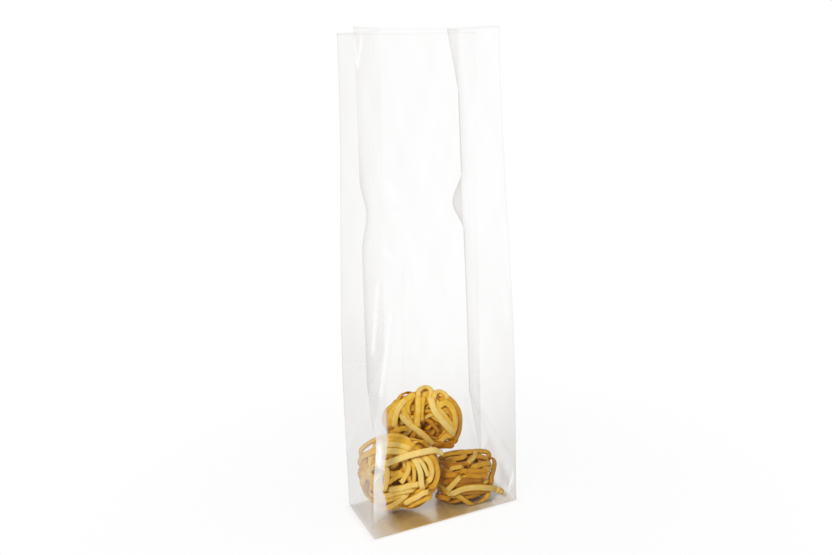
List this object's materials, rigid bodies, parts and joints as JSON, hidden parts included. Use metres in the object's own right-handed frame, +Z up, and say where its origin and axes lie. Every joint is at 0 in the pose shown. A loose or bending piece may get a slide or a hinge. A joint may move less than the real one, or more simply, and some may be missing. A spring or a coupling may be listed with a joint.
{
  "type": "gusseted film bag",
  "caption": "Open clear film bag with folded side gussets and a flat block bottom, holding nests of dried ribbon pasta.",
  "frame": {"origin": "middle of the bag's flat underside, on the surface it stands on", "axes": "+Z up from the bottom to the mouth, X along the bag's width, Y along its depth with the front panel facing -Y"},
  "size_m": [0.124, 0.058, 0.36],
  "materials": {
    "clear_film": "clear, glossy polypropylene film with sharp folds and soft creases",
    "dried_pasta": "dried egg pasta, matt to satin, golden yellow"
  },
  "bodies": {
    "root": {"film_bag": "clear_film", "pasta_nest_left": "dried_pasta", "pasta_nest_right": "dried_pasta", "pasta_nest_top": "dried_pasta"}
  },
  "joints": []
}
